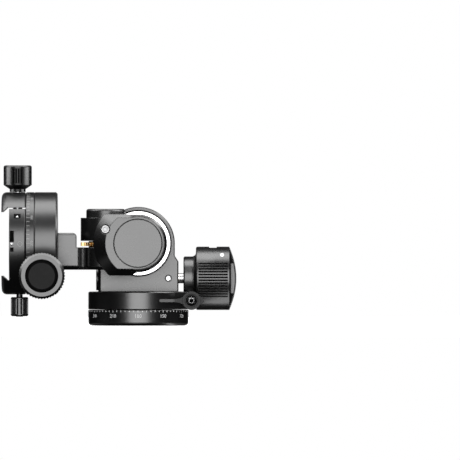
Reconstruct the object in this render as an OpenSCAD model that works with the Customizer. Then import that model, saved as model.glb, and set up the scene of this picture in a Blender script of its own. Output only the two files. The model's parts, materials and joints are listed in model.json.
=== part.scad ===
// Geared tripod head: panning base, worm-driven tilt, roll and platform turn, dovetail clamp.
// Millimetres. Origin at the mouth of the tripod thread, +Z up, the clamp points to -X at rest.

/* [Base] */
// diameter of the base disc and of the pan ring
base_d = 54; // [50:0.5:64]
// height of the graduated base disc
base_h = 8.4; // [7.5:0.1:11]
// height of the pan ring that turns on it
pan_h = 9.6; // [9:0.1:12]
// open seam between disc and ring
seam = 0.25; // [0.2:0.05:0.5]
// rounding of the lower edge
base_round = 1.8; // [0.8:0.1:3]
// radius of the bearing post
post_r = 13; // [12:0.1:14]
// minor radius of the tripod thread
thread_r = 4; // [3.9:0.05:4.2]
// length of the tripod thread
thread_len = 10; // [8:0.5:11]

/* [Bracket] */
// width of the bracket block
bracket_w = 43.2; // [42.5:0.1:44]
// bracket face in front of the pan axis
bracket_front = 5; // [4.5:0.1:6]
// bracket back behind the pan axis
bracket_back = 18.5; // [18.2:0.1:19]
// height of the tilt axis above the pan ring
tilt_rise = 26; // [25.8:0.1:28]
// outer radius of the hoop round the tilt axis
hoop_r = 19.6; // [19.2:0.1:20.4]
// bore of the hoop
hoop_bore_r = 17.5; // [17.4:0.1:18]

/* [Gears] */
// gear module of all three worm drives
gear_m = 0.6; // [0.58:0.01:0.62]
// teeth of the tilt wheel
tilt_teeth = 48; // [47:1:49]
// teeth of the roll wheel and of the platform wheel
roll_teeth = 43; // [42:1:44]
// pitch radius of the worms
worm_r = 4.5; // [4.4:0.05:4.6]
// play on each tooth flank
tooth_play = 0.12; // [0.1:0.01:0.16]
// worm of the tilt drive behind the pan axis
worm_back = 9.7; // [9.5:0.1:10]

/* [Tilt housing] */
// radius of the round front
drum_r = 15.6; // [15:0.1:15.8]
// radius of the inset front cap
cap_r = 12.9; // [12:0.1:13.2]
// reach of the bevelled side from the tilt axis
cheek_r = 23.9; // [23.4:0.1:24.4]
// radius of the flat front inside the bevel
cheek_face_r = 17.5; // [17:0.1:18]
// depth of the bevel
cheek_depth = 5.5; // [5:0.1:6]
// lower edge of the cheek below the tilt axis
cheek_low = 17.3; // [16.8:0.1:17.6]

/* [Roll joint] */
// radius of the roll cylinder and of the arm boss
boss_r = 13.5; // [13:0.1:13.6]
// top of the roll cylinder above the tilt axis
boss_top = 13.7; // [13.7:0.1:14]
// underside of the roll cylinder above the tilt axis
boss_low = 1.3; // [1.2:0.05:1.5]
// top of the arm boss below the tilt axis
arm_top = 2.2; // [2.1:0.05:2.4]
// underside of the arm below the tilt axis
arm_low = 14.2; // [13.8:0.1:14.5]
// half width of the arm
arm_half = 11; // [9:0.5:11.5]
// radius of the roll cap
roll_cap_r = 10.5; // [10:0.1:10.6]
// top of the roll cap above the tilt axis
roll_cap_top = 18.5; // [18:0.1:19.5]
// radius of the roll spindle
spindle_r = 7; // [6:0.1:7.5]

/* [Platform] */
// back of the platform from the tilt axis
disc_back = 43.3; // [43:0.1:45]
// thickness of the platform body
body_t = 12.2; // [12:0.1:13]
// thickness of the scale ring
scale_t = 4.7; // [4.5:0.1:5.5]
// thickness of the clamp up to its floor
floor_t = 8.9; // [8.7:0.1:10]
// height of the jaws above the floor
jaw_t = 4.2; // [3.8:0.1:4.8]
// half width of the dovetail at its floor
root_half = 19.5; // [19:0.1:20]
// width of each jaw beyond the dovetail
jaw_w = 8; // [7.6:0.1:8.4]
// overhang of each jaw tip
tip_over = 2.4; // [2:0.1:2.8]
// slit beside the sliding jaw at rest
jaw_gap = 0.7; // [0.6:0.05:1.2]

/* [Knobs] */
// radius of the tilt knob
tilt_knob_r = 17.1; // [15:0.1:17.2]
// collar of the tilt knob starts here, right of the tilt axis
tilt_knob_x = 24.3; // [24:0.1:25]
// length of the collar
collar_len = 6.7; // [6.5:0.1:7.5]
// length of the grip
grip_len = 18; // [16:0.1:20]
// radius of the collar
collar_r = 11.8; // [10:0.1:12]
// radius of the two round drive knobs
drive_knob_r = 12.5; // [11:0.1:12.6]
// radius of the clamp knob
clamp_knob_r = 7.6; // [7:0.1:8.2]
// length of the clamp knob
clamp_knob_len = 14.3; // [13:0.1:16]
// radius of the platform lock knob
lock_knob_r = 4.7; // [4.2:0.1:5.4]

/* [Pan lock] */
// lever hub right of the pan axis
lever_x = 28.7; // [28.2:0.1:29.2]
// length of the lever
lever_len = 17.3; // [15:0.1:18]
// radius of the lever hub
lever_hub_r = 4.95; // [4.6:0.05:5.2]

/* [Hidden] */
$fn = 64;
// running fit on the radius
fit = 0.03;
// free gap between parts that pass each other
pass = 0.3;
e = 0.05;

base_r = base_d / 2;
pan_low = base_h + seam;
pan_top = pan_low + pan_h;
tilt_z = pan_top + tilt_rise;
retain_r = post_r + 3.2;
cover_t = 1.2;
washer_r = post_r + 5.2;
post_top = pan_top - cover_t - 3.2;

add = 0.9 * gear_m;
ded = 1.25 * gear_m;
lead = PI * gear_m;
tilt_gear_r = gear_m * tilt_teeth / 2;
roll_gear_r = gear_m * roll_teeth / 2;
tilt_reach = tilt_gear_r + worm_r;
roll_reach = roll_gear_r + worm_r;
worm_tip = worm_r + add;
worm_root = worm_r - ded;
worm_bore = worm_tip + 0.46;
shaft_r = 2.7;
worm_z = tilt_z - tilt_reach;
bracket_pin_x = bracket_w / 2 - 5.4;
grip_x = tilt_knob_x + collar_len;
grip_end = grip_x + grip_len;
dome_r = 38;

roll_x = -roll_reach;
roll_y = -(bracket_front + 0.5 + boss_r);
pocket_r = boss_r + 0.4;
cheek_rim_y = roll_y - pocket_r + 0.7;
front_y = cheek_rim_y - cheek_depth;
cheek_back_y = cheek_rim_y + 1.5;
house_back_y = -(bracket_front + pass);
journal_r = 12;
axle_r = 9;

disc_r = root_half + jaw_w;
body_x = -(disc_back + body_t);
scale_x = body_x - scale_t;
floor_x = scale_x - floor_t;
jaw_x = floor_x - jaw_t;
gear_x = body_x + 4.3;
fine_bush_r = gear_x - body_x - 0.3;
groove_shift = -0.35;
clamp_x = scale_x - 0.2 - floor_t / 2 + 0.1;
part_z = root_half + groove_shift;
plate_r = 12.6;
screw_r = 2.5;
screw_end = plate_r + 1;
lock_shift = 1;
pin_y = 9;
pin_end = 9.5;
knob_stand = clamp_knob_len + 0.9;

lug_z = pan_low + pan_h / 2;
lug_h = pan_h - 0.6;
slit_y = -(post_r - 0.8);
lug_back = slit_y + 3.9;
lever_y = -sqrt(pow(base_r, 2) - pow(lever_x - lever_len, 2)) - pass + 1.2;

BLACK = [0.10, 0.10, 0.11];
STEEL = [0.78, 0.79, 0.80];
BRASS = [0.80, 0.62, 0.32];

// Solids of revolution and cylinders along each axis

module zcyl(r, a, b) { translate([0, 0, a]) cylinder(r = r, h = b - a); }
module xcyl(r, a, b) { rotate([0, 90, 0]) zcyl(r, a, b); }
module ycyl(r, a, b) { rotate([-90, 0, 0]) zcyl(r, a, b); }
module tube(r, bore, a, b) {
  difference() {
    zcyl(r, a, b);
    zcyl(bore, a - 1, b + 1);
  }
}
module xtube(r, bore, a, b) { rotate([0, 90, 0]) tube(r, bore, a, b); }
module ytube(r, bore, a, b) { rotate([-90, 0, 0]) tube(r, bore, a, b); }
module at_tilt() { translate([0, 0, tilt_z]) children(); }
module at_roll() { translate([roll_x, roll_y, tilt_z]) children(); }
module at_platform() { translate([0, roll_y, tilt_z]) children(); }
module at_worm() { translate([0, worm_back, worm_z]) children(); }
module at_fine() { translate([gear_x, roll_y, tilt_z - roll_reach]) children(); }
module at_clamp_knob() { translate([clamp_x, roll_y, tilt_z]) children(); }

function arc(cx, cy, r, a0, a1, n = 5) =
  [for (i = [0:n]) let (a = a0 + (a1 - a0) * i / n) [cx + r * cos(a), cy + r * sin(a)]];

// Gear forms: a helical worm thread and a wheel whose teeth lean with the thread

module worm_thread(length, n = 20) {
  steps = floor(length / lead * n / 2);
  low_r = worm_root - 0.25;
  mid = lead / 4 - tooth_play / 2;
  low = mid + (worm_r - low_r) * tan(20);
  top = mid - add * tan(20);
  pts = [for (i = [-steps:steps]) let (a = 360 * i / n, z = lead * i / n, c = cos(a), s = sin(a))
    each [[low_r * c, low_r * s, z - low], [worm_tip * c, worm_tip * s, z - top],
          [worm_tip * c, worm_tip * s, z + top], [low_r * c, low_r * s, z + low]]];
  last = 8 * steps;
  sides = [for (i = [0:2 * steps - 1], j = [0:3])
    let (a = 4 * i + j, b = 4 * i + (j + 1) % 4, c = b + 4, d = a + 4)
    each [[a, c, d], [a, b, c]]];
  ends = [[2, 1, 0], [3, 2, 0], [last, last + 1, last + 2], [last, last + 2, last + 3]];
  polyhedron(pts, concat(sides, ends));
}

module worm(length) {
  difference() {
    union() {
      zcyl(worm_root, -length / 2 - 1.6, length / 2 + 1.6);
      worm_thread(length);
    }
    zcyl(shaft_r, -length, length);
  }
}

module wheel(teeth, r, width, bore, gap_angle) {
  lean = width * gear_m / (2 * worm_r) / r * 180 / PI;
  mid = PI * gear_m / 4 - tooth_play / 2;
  low = (mid + ded * tan(20)) / (r - ded) * 180 / PI;
  top = (mid - add * tan(20)) / (r + add) * 180 / PI;
  step = 360 / teeth;
  pts = [for (i = [0:teeth - 1]) let (a = gap_angle + (i + 0.5) * step)
    each [for (p = [[r - ded, -low], [r + add, -top], [r + add, top], [r - ded, low]])
      [p[0] * cos(a + p[1]), p[0] * sin(a + p[1])]]];
  difference() {
    rotate(-lean / 2) linear_extrude(width, center = true, twist = -lean, slices = 1) polygon(pts);
    zcyl(bore, -width, width);
  }
}

// Base, fixed to the tripod

module base_disc() {
  color(BLACK) difference() {
    union() {
      rotate_extrude() polygon(concat(
        [[0, 0]], arc(base_r - base_round, base_round, base_round, -90, 0),
        [[base_r, base_h - 0.3], [base_r - 0.3, base_h], [0, base_h]]));
      zcyl(post_r, base_h - 1, post_top);
    }
    zcyl(7.5, -1, thread_len + 0.6);
    zcyl(10, -1, 1.8);
    tube(washer_r + 0.2, post_r, base_h - 0.5, base_h + 1);
    for (a = [0:120:240]) rotate(a)
      translate([post_r - 2.8, 0, 0]) zcyl(1.25, post_top - 5, post_top + 1);
    for (a = [60:120:300]) rotate(a) translate([base_r - 6, 0, 0]) zcyl(1.6, -1, 4.5);
  }
}

module tripod_bush() {
  color(STEEL) difference() {
    union() {
      zcyl(7.5, 0, thread_len);
      zcyl(10, 0, 1.8);
    }
    zcyl(thread_r, -1, thread_len + 1);
  }
}

module pan_glide_washer() {
  color([0.93, 0.93, 0.90]) tube(washer_r, post_r + 0.15, base_h - 0.5, pan_low);
}

module pan_retainer() {
  color(STEEL) difference() {
    zcyl(retain_r - 0.2, post_top, post_top + 1.8);
    for (a = [0:120:240]) rotate(a) translate([post_r - 2.8, 0, 0]) zcyl(1.3, 0, pan_top);
    zcyl(5, 0, pan_top);
  }
}

module pan_retainer_screws() {
  color(STEEL) for (a = [0:120:240]) rotate(a) translate([post_r - 2.8, 0, 0]) difference() {
    union() {
      zcyl(1.2, post_top - 4.5, post_top + 2);
      zcyl(2.2, post_top + 1.8, post_top + 3);
    }
    translate([0, 0, post_top + 2]) cylinder(r = 1.05, h = 2, $fn = 6);
  }
}

// Pan stage: split ring with its lug, and the bracket that holds the tilt bearing

module lug() {
  translate([0, 0, lug_z]) {
    translate([0, 0, -lug_h / 2]) linear_extrude(lug_h) polygon([[0.9 * retain_r, lug_back],
      [lever_x, lug_back], [lever_x, slit_y - 1.5], [0.7 * base_r, -0.7 * base_r]]);
    translate([lever_x, 0, 0]) ycyl(lug_h / 2, lever_y + 0.3, lug_back);
  }
}

bracket_bolts = [[18.4, -1.9], [-18.4, -1.9], [10.5, 16], [-10.5, 16]];

module pan_ring() {
  color(BLACK) difference() {
    union() {
      rotate_extrude() polygon(concat(
        [[post_r + fit, pan_low], [base_r - 0.3, pan_low], [base_r, pan_low + 0.3]],
        arc(base_r - 0.9, pan_top - 0.9, 0.9, 0, 90),
        [[retain_r, pan_top], [retain_r, post_top - 0.1], [post_r + fit, post_top - 0.1]]));
      lug();
    }
    translate([post_r / 3, slit_y - 0.5, 0]) cube([base_r * 2, 1, pan_top + 1]);
    translate([lever_x, 0, lug_z]) {
      ycyl(2.1, lever_y - 1, slit_y);
      ycyl(2 + fit, slit_y, 0);
    }
    for (p = bracket_bolts) translate([p[0], p[1], 0]) {
      zcyl(1.4, 0, pan_top + 1);
      zcyl(2.5, 0, pan_low + 3);
    }
    at_worm() xcyl(collar_r + 0.4, tilt_knob_x - 0.4, 2 * base_r);
  }
}

module pan_cover() {
  color(BLACK) zcyl(retain_r, pan_top - cover_t, pan_top);
}

module bracket_outline() {
  circle(hoop_r);
  polygon([[-bracket_w / 2, -tilt_rise], [bracket_w / 2, -tilt_rise], [bracket_w / 2, -9.9],
    [hoop_r, -6.75], [hoop_r, 0], [-hoop_r, 0], [-hoop_r, -6.75], [-bracket_w / 2, -9.9]]);
}

module bracket() {
  deep = bracket_front + bracket_back;
  color(BLACK) difference() {
    at_tilt() translate([0, bracket_back, 0]) rotate([90, 0, 0])
      linear_extrude(deep) bracket_outline();
    at_tilt() {
      ycyl(hoop_bore_r, -bracket_front - 1, 3);
      ycyl(tilt_gear_r + 1.2, 0, bracket_back - 4);
      ycyl(11, 0, bracket_back + 1);
      ycyl(hoop_bore_r + 0.3, -bracket_front - 1, -bracket_front + 0.3);
    }
    at_worm() xcyl(worm_bore, -bracket_w, bracket_w);
    for (s = [-1, 1]) translate([s * bracket_w / 2, bracket_back, 0]) rotate(45)
      cube([4 * sqrt(2), 4 * sqrt(2), 3 * tilt_z], center = true);
    for (p = bracket_bolts) translate([p[0], p[1], 0]) zcyl(1.25, 0, pan_top + 4.5);
    translate([-bracket_w / 2, -bracket_front, 0]) rotate(45) cube([1.9, 1.9, 3 * tilt_z], center = true);
    translate([bracket_w / 2, -bracket_front, 0]) rotate(45) cube([0.7, 0.7, 3 * tilt_z], center = true);
    translate([bracket_pin_x, 0, worm_z]) {
      ycyl(1.1, -bracket_front - 1, -1.4);
      ycyl(1.8, -bracket_front - 1, -bracket_front + 1.2);
    }
  }
}

module bracket_screws() {
  color(STEEL) for (p = bracket_bolts) translate([p[0], p[1], 0]) difference() {
    union() {
      zcyl(1.2, pan_low + 2, pan_top + 4.2);
      zcyl(2.4, pan_low + 0.8, pan_low + 3);
    }
    translate([0, 0, pan_low]) cylinder(r = 1.1, h = 2, $fn = 6);
  }
}

module tilt_bearing_ring() {
  color(STEEL) at_tilt() rotate([-90, 0, 0]) rotate_extrude() polygon([
    [journal_r + fit, -bracket_front + 0.9], [drum_r - 0.6, -bracket_front + 0.9],
    [drum_r - 0.2, -bracket_front + 0.35], [hoop_bore_r - 0.4, -bracket_front + 0.43],
    [hoop_bore_r, -bracket_front + 0.8], [hoop_bore_r, 3], [journal_r + fit, 3]]);
}

module tilt_rear_bush() {
  color(BRASS) at_tilt() difference() {
    union() {
      ycyl(11, bracket_back - 5, bracket_back);
      ycyl(12.5, bracket_back - 5, bracket_back - 4);
    }
    ycyl(axle_r + fit, 0, bracket_back + 1);
  }
}

module tilt_worm_bushes() {
  color(BRASS) at_worm() {
    xtube(worm_bore, shaft_r + fit, -bracket_w / 2 + 0.8, -bracket_w / 2 + 6.3);
    xtube(worm_bore, shaft_r + fit, bracket_w / 2 - 5.5, bracket_w / 2);
  }
}

module worm_end_cover() {
  color(BLACK) at_worm() {
    xcyl(6.5, -bracket_w / 2 - 1.2, -bracket_w / 2);
    xcyl(worm_bore, -bracket_w / 2 - 0.5, -bracket_w / 2 + 0.8);
  }
}

module bracket_pin() {
  color(STEEL) translate([bracket_pin_x, 0, worm_z]) ycyl(1.1, -bracket_front - 0.1, -1.4);
}

// Pan lock lever

module lock_lever() {
  t = lever_hub_r;
  k = t - 0.3;
  tail = 0.8;
  rise = tail + 0.1;
  bend = 7;
  bend_x = sqrt((k - rise) * (2 * bend + k + rise));
  edge = concat(arc(-bend_x, rise + bend, bend, -90, -atan2(rise + bend, bend_x)),
    [[k * cos(50), k * sin(50)], [t + 1.3, 1.2], [t + 1.75, 0.5]]);
  outline = concat(edge, [for (i = [len(edge) - 1:-1:0]) [edge[i][0], -edge[i][1]]]);
  color(BLACK) translate([lever_x, lever_y, lug_z]) difference() {
    rotate([90, 0, 0]) {
      cylinder(r = t, h = 4.2);
      linear_extrude(4) polygon(outline);
      translate([-lever_len + tail, -tail, 1.2]) cube([lever_len - 3, 2 * tail, 1.8]);
      translate([-lever_len + tail, 0, 1.2]) cylinder(r = tail, h = 1.8);
    }
    ycyl(2 + fit, -5, 1);
    ycyl(3.6, -5, -2.2);
  }
}

module lock_screw() {
  color(STEEL) translate([lever_x, lever_y, lug_z]) difference() {
    union() {
      ycyl(2, -3, lug_back - lever_y - 0.4);
      rotate([90, 0, 0]) rotate_extrude() polygon(concat([[0, 2.2], [2.9, 2.2], [2.9, 2.7]],
        [for (i = [1:5]) [2.9 * cos(18 * i), 2.7 + 1.6 * sin(18 * i)]]));
    }
    rotate([90, 0, 0]) translate([0, 0, 2.9]) cylinder(r = 1.45, h = 3, $fn = 6);
  }
}

// Tilt stage: housing, axle and wheel

module cheek_outline() {
  difference() {
    intersection() {
      circle(cheek_r);
      translate([-40, -cheek_low]) square([40, cheek_low + drum_r]);
    }
    polygon([[1, -cheek_low + 2.5], [-3.6, -cheek_low], [-3.6, -40], [1, -40]]);
    polygon([[-22.6, -12.5], [-17.2, -cheek_low - 0.6], [-17.2, -40], [-40, -40], [-40, -12.5]]);
  }
}

module cheek() {
  intersection() {
    translate([0, cheek_back_y, 0]) rotate([90, 0, 0])
      linear_extrude(cheek_back_y - front_y) cheek_outline();
    rotate([-90, 0, 0]) rotate_extrude() polygon([[0, front_y], [cheek_face_r, front_y],
      [cheek_r, cheek_rim_y], [cheek_r, cheek_back_y], [0, cheek_back_y]]);
    translate([-60, front_y, -cheek_low + 3.6]) rotate([-45, 0, 0])
      translate([0, -60, 0]) cube([120, 120, 80]);
    translate([-60, front_y, drum_r - 1.9]) rotate([45, 0, 0])
      translate([0, -60, -80]) cube([120, 120, 80]);
  }
}

module drum() {
  rotate([-90, 0, 0]) rotate_extrude() polygon(concat([[0, front_y]],
    arc(drum_r - 2, front_y + 2, 2, -90, 0, 4),
    [[drum_r, house_back_y], [journal_r, house_back_y], [journal_r, 3.2], [0, 3.2]]));
}

module tilt_housing() {
  color(BLACK) difference() {
    at_tilt() {
      cheek();
      drum();
      translate([roll_x, roll_y, 0]) zcyl(boss_r, boss_low, boss_top);
    }
    at_roll() {
      zcyl(pocket_r, -cheek_low - 5, boss_low);
      zcyl(spindle_r + fit, 0, boss_top + 1);
    }
    at_tilt() {
      ycyl(cap_r + 0.2, front_y - 1, front_y + 2);
      ycyl(worm_bore, front_y, house_back_y - 3.5);
      ycyl(axle_r, -3.5, 5);
      ycyl(shaft_r + 0.5, front_y, 5);
      translate([roll_x - 0.1, 0, 7.6]) {
        ycyl(2.5, front_y - 1, front_y + 4.2);
        ycyl(1.3, front_y - 1, front_y + 8.5);
      }
    }
  }
}

module tilt_cap() {
  color(BLACK) at_tilt() rotate([-90, 0, 0]) rotate_extrude() polygon([
    [0, front_y], [cap_r - 0.2, front_y], [cap_r, front_y + 0.2], [cap_r, front_y + 2], [0, front_y + 2]]);
}

module tilt_axle() {
  color(STEEL) at_tilt() difference() {
    union() {
      ycyl(axle_r, -3.5, bracket_back + 3.2);
      ycyl(axle_r + 1.2, 3.2, worm_back - 2.2);
    }
    ycyl(shaft_r + 0.5, -5, bracket_back + 5);
  }
}

module tilt_wheel() {
  color(BRASS) at_tilt() translate([0, worm_back, 0]) rotate([-90, 0, 0])
    wheel(tilt_teeth, tilt_gear_r, 4, axle_r, 90);
}

module tilt_lock_nut() {
  color(STEEL) at_tilt() difference() {
    ycyl(11.5, bracket_back + 0.2, bracket_back + 3.2);
    ycyl(axle_r, bracket_back, bracket_back + 4);
    for (a = [0:60:300]) rotate([0, a, 0])
      translate([11.5, bracket_back, -1]) cube([2, 5, 2], center = true);
  }
}

module roll_cap() {
  r = roll_cap_r;
  color(BLACK) at_roll() difference() {
    rotate_extrude() polygon(concat([[0, boss_top], [r, boss_top]],
      arc(r - 1.3, roll_cap_top - 1.3, 1.3, 0, 90), [[0, roll_cap_top]]));
    zcyl(r - 1.3, boss_top - 1, roll_cap_top - 1.4);
  }
}

module housing_screw() {
  color(STEEL) at_tilt() translate([roll_x - 0.1, front_y + 1.6, 7.6]) difference() {
    union() {
      ycyl(2.35, 0, 2.6);
      ycyl(1.25, 2, 6.7);
    }
    rotate([-90, 0, 0]) translate([0, 0, -1]) cylinder(r = 1.3, h = 2.4, $fn = 6);
  }
}

module roll_worm_bushes() {
  color(BRASS) at_tilt() {
    ytube(worm_bore, shaft_r + fit, front_y + 2.3, roll_y - 9.2);
    ytube(worm_bore, shaft_r + fit, roll_y + 8.4, house_back_y - 3.5);
  }
}

// Drive of the tilt: worm, shaft and the big knob

module tilt_worm() {
  color(STEEL) at_worm() rotate([0, 90, 0]) rotate(180) worm(12);
}

module tilt_shaft() {
  color(STEEL) at_worm() xcyl(shaft_r, -bracket_w / 2 + 1.2, grip_end - 6);
}

module tilt_knob() {
  r = tilt_knob_r;
  color(BLACK) at_worm() difference() {
    rotate([0, 90, 0]) rotate_extrude() polygon(concat([[0, tilt_knob_x], [collar_r - 0.8, tilt_knob_x]],
      arc(collar_r - 0.8, tilt_knob_x + 0.8, 0.8, -90, 0, 3),
      arc(collar_r + 2.2, grip_x - 2.2, 2.2, 180, 90, 4),
      arc(r - 0.9, grip_x + 0.9, 0.9, -90, 0, 3), [[r, grip_end], [0, grip_end]]));
    xcyl(shaft_r, 0, grip_end - 6);
    for (q = [93.5, 213.5, 333.5], i = [-6:6]) rotate([q + 5.2 * i, 0, 0])
      translate([grip_x + 1.4, 0, 0]) rotate([90, 0, 90]) linear_extrude(grip_len - 2.2)
        polygon([[0, r - 0.9], [0.56, r + 0.1], [-0.56, r + 0.1]]);
    translate([grip_x + 7.1, -r / 2, r - 0.6]) cube([4.1, r, 2]);
  }
}

module tilt_knob_cap() {
  r = tilt_knob_r;
  color(BLACK) at_worm() difference() {
    rotate([0, 90, 0]) rotate_extrude() polygon(concat([[0, grip_end]],
      [for (i = [0:8]) let (k = r * (1 - i / 8)) [k, grip_end + (r * r - k * k) / (2 * dome_r)]]));
    for (s = [-1, 1]) translate([grip_end + 0.9, s * (r / 2 - 0.5) - r * (1 - s) / 2, 0])
      translate([0, 0, -r / 2 + 0.5]) cube([20, r, r - 1]);
  }
}

// Drive of the roll: its worm lies on the tilt axis, its knob behind the bracket

module drive_knob(r) {
  n = 48;
  difference() {
    intersection() {
      linear_extrude(10.4) polygon([for (i = [0:2 * n - 1])
        let (a = 180 * i / n, k = r - 0.5 * (i % 2)) [k * cos(a), k * sin(a)]]);
      rotate_extrude() polygon([[0, 0], [r - 3, 0], [r - 1.3, 1.2], [r + 0.2, 1.2], [r + 0.2, 7.5],
        [r - 1.3, 9], [r - 1.3, 10.2], [r - 1.5, 10.4], [0, 10.4]]);
    }
    zcyl(r - 3.6, 8, 12);
    zcyl(shaft_r, -1, 7);
  }
}

module drive_disc(r) {
  rotate_extrude() polygon([[0, 8], [r - 4.6, 8], [r - 4.6, 9.7], [r - 5.1, 10.1], [0, 10.1]]);
}

module roll_worm() {
  color(STEEL) at_tilt() translate([0, roll_y, 0]) rotate([-90, 0, 0]) rotate(180) worm(10);
}

module roll_shaft() {
  color(STEEL) at_tilt() ycyl(shaft_r, front_y + 2.6, bracket_back + 11);
}

module roll_knob() {
  color(BLACK) at_tilt() translate([0, bracket_back + 4, 0]) rotate([-90, 0, 0]) drive_knob(drive_knob_r);
}

module roll_knob_disc() {
  color([0.2, 0.2, 0.2]) at_tilt() translate([0, bracket_back + 4, 0]) rotate([-90, 0, 0])
    drive_disc(drive_knob_r);
}

// Roll stage: the arm with its spindle and wheel, and the platform body on it

module arm_block() {
  x0 = -disc_back;
  x1 = roll_x - boss_r;
  x2 = x1 - 2.2;
  difference() {
    union() {
      translate([x0, -arm_half, -arm_low]) cube([x1 - x0, 2 * arm_half, arm_low - arm_top]);
      translate([x0, -arm_half, -arm_top - 1]) cube([x2 - x0, 2 * arm_half, arm_top + 1 + 3.4]);
      translate([x0, -arm_half, 0]) cube([x2 - x0 - 2.2, 2 * arm_half, 5.6]);
      translate([x2 - 2.2, 0, 3.4]) ycyl(2.2, -arm_half, arm_half);
      translate([0, 0, -arm_low]) linear_extrude(arm_low - arm_top) polygon([[x1 - 1, 3.5 - arm_half],
        [x1 + 9, -2.3], [x1 + 9, 2.3], [x1 - 1, arm_half - 3.5]]);
    }
    for (s = [-1, 1]) {
      translate([0, s * arm_half, -arm_low]) rotate([45, 0, 0]) cube([200, 2.9, 2.9], center = true);
      translate([0, s * arm_half, 5.6]) rotate([45, 0, 0]) cube([200, 1.3, 1.3], center = true);
      translate([x1, s * arm_half, 0]) rotate(45) cube([1.8, 1.8, 60], center = true);
    }
  }
}

module roll_arm() {
  color(BLACK) difference() {
    union() {
      at_roll() rotate_extrude() polygon([[0, -arm_low], [boss_r - 1.6, -arm_low],
        [boss_r, -arm_low + 1.6], [boss_r, -arm_top], [0, -arm_top]]);
      at_platform() arm_block();
    }
    at_roll() {
      zcyl(spindle_r, -arm_low + 3, 0);
      rotate(-90) rotate_extrude(angle = 180) polygon([[boss_r - 1.5, -arm_top], [boss_r, -arm_top - 1.5],
        [boss_r + 1, -arm_top - 1.5], [boss_r + 1, 0], [boss_r - 1.5, 0]]);
    }
    at_platform() arm_bolts() xcyl(1.25, -disc_back - 1, -disc_back + 7);
  }
}

module arm_bolts() {
  for (y = [-8.3, 8.3]) translate([0, y, -8.3]) children();
}

module roll_spindle() {
  color(STEEL) at_roll() {
    zcyl(spindle_r, -arm_low + 3, boss_top + 0.15);
    zcyl(5, boss_top, boss_top + 2.4);
  }
}

module roll_wheel() {
  color(BRASS) at_roll() {
    translate([0, 0, -0.45]) wheel(roll_teeth, roll_gear_r, 2, spindle_r, 0);
    tube(9.2, spindle_r, -arm_top, boss_low - 0.15);
  }
}

module roll_nut() {
  color(STEEL) at_roll() difference() {
    zcyl(8.5, boss_top + 0.15, boss_top + 2.6);
    zcyl(5, boss_top, boss_top + 4);
  }
}

module platform_body() {
  x0 = body_x;
  x1 = -disc_back;
  color(BLACK) difference() {
    union() {
      at_platform() rotate([0, 90, 0]) rotate_extrude() polygon([[0, x0], [disc_r - 0.3, x0],
        [disc_r, x0 + 0.3], [disc_r, x1 - 0.8], [disc_r - 0.8, x1], [0, x1]]);
      at_fine() ycyl(4.2, -disc_r - 0.1, -14);
    }
    at_platform() {
      xcyl(roll_gear_r + add + 0.75, x0 - 1, gear_x + 2.5);
      xcyl(axle_r + fit, x0, x1 - 1.2);
      arm_bolts() {
        xcyl(1.4, x0, x1 + 1);
        xcyl(2.3, x0, x1 - 4);
      }
    }
    at_fine() {
      ycyl(fine_bush_r, -17, 15);
      ycyl(worm_bore, -8.4, 8.4);
      ycyl(shaft_r + 0.2, -60, 0);
    }
  }
}

module scale_ring() {
  color(BLACK) at_platform() rotate([0, 90, 0]) rotate_extrude() polygon([
    [21.4, body_x], [disc_r - 0.35, body_x], [disc_r, body_x - 0.35], [disc_r, scale_x + 0.35],
    [disc_r - 0.35, scale_x], [18.5, scale_x], [18.5, scale_x + 1.2], [21.4, scale_x + 1.2]]);
}

module arm_screws() {
  color(STEEL) at_platform() arm_bolts() {
    xcyl(1.2, -disc_back - 5, -disc_back + 6.6);
    xcyl(2.2, -disc_back - 5.6, -disc_back - 4);
  }
}

module platform_worm_bushes() {
  color(BRASS) at_fine() {
    ytube(fine_bush_r, shaft_r + fit, -17, -8.6);
    ytube(fine_bush_r, shaft_r + fit, 8.6, 13.6);
  }
}

// Drive of the platform turn

module platform_worm() {
  color(STEEL) at_fine() rotate([-90, 0, 0]) rotate(-90) worm(10);
}

module platform_shaft() {
  color(STEEL) at_fine() ycyl(shaft_r, -disc_r - knob_stand - 7, 13.4);
}

module platform_knob() {
  color(BLACK) at_fine() {
    translate([0, -disc_r - knob_stand, 0]) rotate([90, 0, 0]) drive_knob(drive_knob_r);
    ytube(5, shaft_r, -disc_r - knob_stand, -disc_r - 0.4);
  }
}

module platform_knob_disc() {
  color([0.2, 0.2, 0.2]) at_fine() translate([0, -disc_r - knob_stand, 0]) rotate([90, 0, 0])
    drive_disc(drive_knob_r);
}

// Turntable: the spindle and wheel that the platform worm turns

module turntable_spindle() {
  color(STEEL) at_platform() difference() {
    union() {
      xcyl(axle_r, scale_x + 1.5, -disc_back - 1.4);
      xcyl(21, scale_x + 1.5, body_x - 1.5);
      xcyl(10, floor_x + 2.3, scale_x + 3);
    }
    turntable_bolts() xcyl(1.05, floor_x, floor_x + 8);
  }
}

module turntable_bolts() {
  for (a = [0:120:240]) rotate([a, 0, 0]) translate([0, 0, 7]) children();
}

module platform_wheel() {
  color(BRASS) at_platform() translate([gear_x, 0, 0]) rotate([0, 90, 0])
    wheel(roll_teeth, roll_gear_r, 3, axle_r, 0);
}

module turntable_plate() {
  color(BLACK) at_platform() difference() {
    xcyl(plate_r, floor_x + 0.2, floor_x + 2.3);
    turntable_bolts() {
      xcyl(1.1, floor_x, floor_x + 4);
      xcyl(2.2, floor_x, floor_x + 1.4);
    }
  }
}

module turntable_screws() {
  color(STEEL) at_platform() turntable_bolts() difference() {
    union() {
      xcyl(1, floor_x + 1, floor_x + 7);
      xcyl(2, floor_x + 0.3, floor_x + 1.4);
    }
    rotate([0, 90, 0]) translate([0, 0, floor_x]) cylinder(r = 0.9, h = 1, $fn = 6);
  }
}

// Dovetail clamp: one round block, parted into a fixed body and a sliding jaw

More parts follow.
